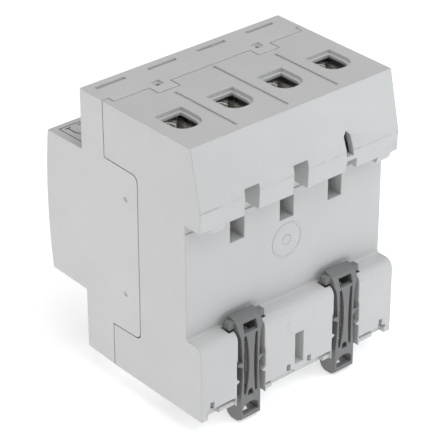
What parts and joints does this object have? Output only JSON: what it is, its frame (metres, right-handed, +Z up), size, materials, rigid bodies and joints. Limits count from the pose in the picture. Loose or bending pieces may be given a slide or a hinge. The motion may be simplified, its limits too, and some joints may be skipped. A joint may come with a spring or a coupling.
{
  "type": "din rail contactor",
  "caption": "Modular power contactor for a 35 mm rail: grey moulded case with a raised nose, wire windows in top and bottom, sprung rail clips, screw clamps and a coil-driven contact carrier.",
  "frame": {"origin": "middle of the flat seat where the rail's back lies, at the rail's centre line", "axes": "+Y out of the back towards the rail, +Z up along the height, X across the width"},
  "size_m": [0.0722, 0.0673, 0.0903],
  "materials": {
    "base_plastic": "light grey moulded plastic, satin",
    "cover_plastic": "light grey moulded plastic, satin",
    "clip_plastic": "dark grey glass-filled plastic",
    "label_plastic": "off-white plastic",
    "clear_plastic": "clear plastic",
    "flag_plastic": "red plastic",
    "carrier_plastic": "black moulded plastic",
    "bobbin_plastic": "cream moulded plastic",
    "enamelled_wire": "enamelled copper wire",
    "rubber": "black rubber",
    "plated_copper": "plated copper alloy",
    "zinc_plated_steel": "zinc-plated steel",
    "screw_steel": "plated steel",
    "spring_steel": "spring steel wire",
    "core_iron": "laminated steel"
  },
  "bodies": {
    "housing": {"rear_base": "base_plastic", "front_cover": "cover_plastic", "label_plate": "label_plastic", "indicator_window": "clear_plastic", "fixed_core": "core_iron", "core_damper_pad": "rubber", "coil_bobbin": "bobbin_plastic", "coil_winding": "enamelled_wire", "clip_spring_left": "spring_steel", "shading_ring_left": "plated_copper", "clip_spring_right": "spring_steel", "shading_ring_right": "plated_copper", "return_spring_upper": "spring_steel", "return_spring_lower": "spring_steel", "upper_fixed_contact_1": "plated_copper", "lower_fixed_contact_1": "plated_copper", "upper_fixed_contact_2": "plated_copper", "lower_fixed_contact_2": "plated_copper", "upper_fixed_contact_3": "plated_copper", "lower_fixed_contact_3": "plated_copper", "upper_fixed_contact_4": "plated_copper", "lower_fixed_contact_4": "plated_copper", "coil_lead_a1": "plated_copper", "coil_lead_a2": "plated_copper"},
    "carrier": {"contact_carrier": "carrier_plastic", "armature": "core_iron", "contact_spring_1": "spring_steel", "contact_spring_2": "spring_steel", "contact_spring_3": "spring_steel", "contact_spring_4": "spring_steel"},
    "state_flag": {"state_flag": "flag_plastic"},
    "rail_clip_left": {"rail_clip_left": "clip_plastic"},
    "rail_clip_right": {"rail_clip_right": "clip_plastic"},
    "contact_bridge_1": {"contact_bridge_1": "plated_copper"},
    "contact_bridge_2": {"contact_bridge_2": "plated_copper"},
    "contact_bridge_3": {"contact_bridge_3": "plated_copper"},
    "contact_bridge_4": {"contact_bridge_4": "plated_copper"},
    "upper_clamp_screw_1": {"upper_clamp_screw_1": "screw_steel"},
    "upper_clamp_cage_1": {"upper_clamp_cage_1": "zinc_plated_steel"},
    "upper_clamp_screw_2": {"upper_clamp_screw_2": "screw_steel"},
    "upper_clamp_cage_2": {"upper_clamp_cage_2": "zinc_plated_steel"},
    "upper_clamp_screw_3": {"upper_clamp_screw_3": "screw_steel"},
    "upper_clamp_cage_3": {"upper_clamp_cage_3": "zinc_plated_steel"},
    "upper_clamp_screw_4": {"upper_clamp_screw_4": "screw_steel"},
    "upper_clamp_cage_4": {"upper_clamp_cage_4": "zinc_plated_steel"},
    "lower_clamp_screw_1": {"lower_clamp_screw_1": "screw_steel"},
    "lower_clamp_cage_1": {"lower_clamp_cage_1": "zinc_plated_steel"},
    "lower_clamp_screw_2": {"lower_clamp_screw_2": "screw_steel"},
    "lower_clamp_cage_2": {"lower_clamp_cage_2": "zinc_plated_steel"},
    "lower_clamp_screw_3": {"lower_clamp_screw_3": "screw_steel"},
    "lower_clamp_cage_3": {"lower_clamp_cage_3": "zinc_plated_steel"},
    "lower_clamp_screw_4": {"lower_clamp_screw_4": "screw_steel"},
    "lower_clamp_cage_4": {"lower_clamp_cage_4": "zinc_plated_steel"},
    "coil_clamp_screw_a1": {"coil_clamp_screw_a1": "screw_steel"},
    "coil_clamp_cage_a1": {"coil_clamp_cage_a1": "zinc_plated_steel"},
    "coil_clamp_screw_a2": {"coil_clamp_screw_a2": "screw_steel"},
    "coil_clamp_cage_a2": {"coil_clamp_cage_a2": "zinc_plated_steel"}
  },
  "joints": [
    {"name": "rail_clip_left_slide", "type": "slide", "parent": "housing", "child": "rail_clip_left", "axis": [0, 0, -1], "range_m": [0, 0.0032], "stiffness_N_per_m": 1200, "springref_m": -0.003, "deforming": ["clip_spring_left"]},
    {"name": "rail_clip_right_slide", "type": "slide", "parent": "housing", "child": "rail_clip_right", "axis": [0, 0, -1], "range_m": [0, 0.0032], "stiffness_N_per_m": 1200, "springref_m": -0.003, "deforming": ["clip_spring_right"]},
    {"name": "carrier_slide", "type": "slide", "parent": "housing", "child": "carrier", "axis": [0, -1, 0], "range_m": [0, 0.0046], "stiffness_N_per_m": 600, "springref_m": -0.003, "deforming": ["return_spring_upper", "return_spring_lower"]},
    {"name": "state_flag_hinge", "type": "hinge", "parent": "housing", "child": "state_flag", "pos_m": [0.0268, -0.0512, 0.001], "axis": [-1, 0, 0], "range_deg": [0, 40.5]},
    {"name": "contact_bridge_1_slide", "type": "slide", "parent": "carrier", "child": "contact_bridge_1", "axis": [0, 1, 0], "range_m": [0, 0.0016], "deforming": ["contact_spring_1"]},
    {"name": "contact_bridge_2_slide", "type": "slide", "parent": "carrier", "child": "contact_bridge_2", "axis": [0, 1, 0], "range_m": [0, 0.0016], "deforming": ["contact_spring_2"]},
    {"name": "contact_bridge_3_slide", "type": "slide", "parent": "carrier", "child": "contact_bridge_3", "axis": [0, 1, 0], "range_m": [0, 0.0016], "deforming": ["contact_spring_3"]},
    {"name": "contact_bridge_4_slide", "type": "slide", "parent": "carrier", "child": "contact_bridge_4", "axis": [0, 1, 0], "range_m": [0, 0.0016], "deforming": ["contact_spring_4"]},
    {"name": "upper_clamp_screw_1_turn", "type": "hinge", "parent": "housing", "child": "upper_clamp_screw_1", "pos_m": [-0.027, -0.0264, 0.033], "axis": [0, 1, 0], "range_deg": [0, 2340]},
    {"name": "upper_clamp_cage_1_slide", "type": "slide", "parent": "housing", "child": "upper_clamp_cage_1", "axis": [0, -1, 0], "range_m": [0, 0.0052]},
    {"name": "upper_clamp_screw_2_turn", "type": "hinge", "parent": "housing", "child": "upper_clamp_screw_2", "pos_m": [-0.009, -0.0264, 0.033], "axis": [0, 1, 0], "range_deg": [0, 2340]},
    {"name": "upper_clamp_cage_2_slide", "type": "slide", "parent": "housing", "child": "upper_clamp_cage_2", "axis": [0, -1, 0], "range_m": [0, 0.0052]},
    {"name": "upper_clamp_screw_3_turn", "type": "hinge", "parent": "housing", "child": "upper_clamp_screw_3", "pos_m": [0.009, -0.0264, 0.033], "axis": [0, 1, 0], "range_deg": [0, 2340]},
    {"name": "upper_clamp_cage_3_slide", "type": "slide", "parent": "housing", "child": "upper_clamp_cage_3", "axis": [0, -1, 0], "range_m": [0, 0.0052]},
    {"name": "upper_clamp_screw_4_turn", "type": "hinge", "parent": "housing", "child": "upper_clamp_screw_4", "pos_m": [0.027, -0.0264, 0.033], "axis": [0, 1, 0], "range_deg": [0, 2340]},
    {"name": "upper_clamp_cage_4_slide", "type": "slide", "parent": "housing", "child": "upper_clamp_cage_4", "axis": [0, -1, 0], "range_m": [0, 0.0052]},
    {"name": "lower_clamp_screw_1_turn", "type": "hinge", "parent": "housing", "child": "lower_clamp_screw_1", "pos_m": [-0.027, -0.0264, -0.033], "axis": [0, 1, 0], "range_deg": [0, 2340]},
    {"name": "lower_clamp_cage_1_slide", "type": "slide", "parent": "housing", "child": "lower_clamp_cage_1", "axis": [0, -1, 0], "range_m": [0, 0.0052]},
    {"name": "lower_clamp_screw_2_turn", "type": "hinge", "parent": "housing", "child": "lower_clamp_screw_2", "pos_m": [-0.009, -0.0264, -0.033], "axis": [0, 1, 0], "range_deg": [0, 2340]},
    {"name": "lower_clamp_cage_2_slide", "type": "slide", "parent": "housing", "child": "lower_clamp_cage_2", "axis": [0, -1, 0], "range_m": [0, 0.0052]},
    {"name": "lower_clamp_screw_3_turn", "type": "hinge", "parent": "housing", "child": "lower_clamp_screw_3", "pos_m": [0.009, -0.0264, -0.033], "axis": [0, 1, 0], "range_deg": [0, 2340]},
    {"name": "lower_clamp_cage_3_slide", "type": "slide", "parent": "housing", "child": "lower_clamp_cage_3", "axis": [0, -1, 0], "range_m": [0, 0.0052]},
    {"name": "lower_clamp_screw_4_turn", "type": "hinge", "parent": "housing", "child": "lower_clamp_screw_4", "pos_m": [0.027, -0.0264, -0.033], "axis": [0, 1, 0], "range_deg": [0, 2340]},
    {"name": "lower_clamp_cage_4_slide", "type": "slide", "parent": "housing", "child": "lower_clamp_cage_4", "axis": [0, -1, 0], "range_m": [0, 0.0052]},
    {"name": "coil_clamp_screw_a1_turn", "type": "hinge", "parent": "housing", "child": "coil_clamp_screw_a1", "pos_m": [-0.018, -0.039, -0.033], "axis": [0, 1, 0], "range_deg": [0, 1800]},
    {"name": "coil_clamp_cage_a1_slide", "type": "slide", "parent": "housing", "child": "coil_clamp_cage_a1", "axis": [0, -1, 0], "range_m": [0, 0.003]},
    {"name": "coil_clamp_screw_a2_turn", "type": "hinge", "parent": "housing", "child": "coil_clamp_screw_a2", "pos_m": [0.018, -0.039, -0.033], "axis": [0, 1, 0], "range_deg": [0, 1800]},
    {"name": "coil_clamp_cage_a2_slide", "type": "slide", "parent": "housing", "child": "coil_clamp_cage_a2", "axis": [0, -1, 0], "range_m": [0, 0.003]}
  ],
  "couplings": [
    {"joint": "state_flag_hinge", "follows": "carrier_slide", "rad_per_m": 151.77},
    {"joint": "contact_bridge_1_slide", "follows": "carrier_slide", "ratio": 0.3478},
    {"joint": "contact_bridge_2_slide", "follows": "carrier_slide", "ratio": 0.3478},
    {"joint": "contact_bridge_3_slide", "follows": "carrier_slide", "ratio": 0.3478},
    {"joint": "contact_bridge_4_slide", "follows": "carrier_slide", "ratio": 0.3478},
    {"joint": "upper_clamp_screw_1_turn", "follows": "upper_clamp_cage_1_slide", "rad_per_m": 7854},
    {"joint": "upper_clamp_screw_2_turn", "follows": "upper_clamp_cage_2_slide", "rad_per_m": 7854},
    {"joint": "upper_clamp_screw_3_turn", "follows": "upper_clamp_cage_3_slide", "rad_per_m": 7854},
    {"joint": "upper_clamp_screw_4_turn", "follows": "upper_clamp_cage_4_slide", "rad_per_m": 7854},
    {"joint": "lower_clamp_screw_1_turn", "follows": "lower_clamp_cage_1_slide", "rad_per_m": 7854},
    {"joint": "lower_clamp_screw_2_turn", "follows": "lower_clamp_cage_2_slide", "rad_per_m": 7854},
    {"joint": "lower_clamp_screw_3_turn", "follows": "lower_clamp_cage_3_slide", "rad_per_m": 7854},
    {"joint": "lower_clamp_screw_4_turn", "follows": "lower_clamp_cage_4_slide", "rad_per_m": 7854},
    {"joint": "coil_clamp_screw_a1_turn", "follows": "coil_clamp_cage_a1_slide", "rad_per_m": 10472},
    {"joint": "coil_clamp_screw_a2_turn", "follows": "coil_clamp_cage_a2_slide", "rad_per_m": 10472}
  ]
}
